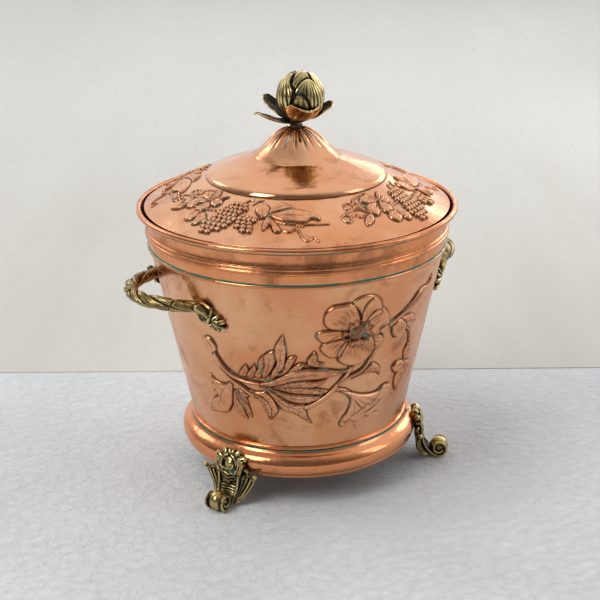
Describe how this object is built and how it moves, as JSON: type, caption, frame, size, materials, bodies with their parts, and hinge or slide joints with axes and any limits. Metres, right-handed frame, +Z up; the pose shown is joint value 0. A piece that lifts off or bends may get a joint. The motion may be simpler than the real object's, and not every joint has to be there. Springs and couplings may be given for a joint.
{
  "type": "champagne bucket with lid",
  "caption": "Lidded copper ice bucket with embossed flowers and vines, cast brass scroll feet, rope handles and a flower-bud finial.",
  "frame": {"origin": "on the floor under the bucket's axis, between the three feet", "axes": "+Z up the bucket's axis, X through the two handles to within 5 degrees, -Y towards the front with the large flower; the front feet stand left and right of it"},
  "size_m": [0.3772, 0.3314, 0.4239],
  "materials": {
    "copper": "worn polish with brown patina",
    "tinned_copper": "dull wiped tin over copper",
    "brass": "antique casting with darkened recesses",
    "fixing_steel": "dull",
    "rim_wire_steel": "dull, hidden in the rolled rim"
  },
  "bodies": {
    "bucket": {"bucket_wall": "copper", "bucket_floor": "tinned_copper", "rim_collar": "copper", "rim_wire": "rim_wire_steel", "collar_bead": "copper", "base_bead": "copper", "base_ring": "copper", "foot_left": "brass", "foot_right": "brass", "foot_rear": "brass", "foot_screws": "fixing_steel", "foot_nuts": "fixing_steel", "handle_left": "brass", "handle_right": "brass", "handle_studs": "fixing_steel", "handle_washers": "fixing_steel", "handle_nuts": "fixing_steel"},
    "lid": {"lid_pan": "copper", "lid_dome": "copper", "lid_flange": "copper", "finial_neck": "brass", "finial_sepals": "brass", "finial_bud": "brass", "finial_stud": "fixing_steel", "finial_washer": "fixing_steel", "finial_nut": "fixing_steel"}
  },
  "joints": [
    {"name": "lid_lift", "type": "slide", "parent": "bucket", "child": "lid", "axis": [0, 0, 1], "range_m": [0, 0.25]}
  ]
}
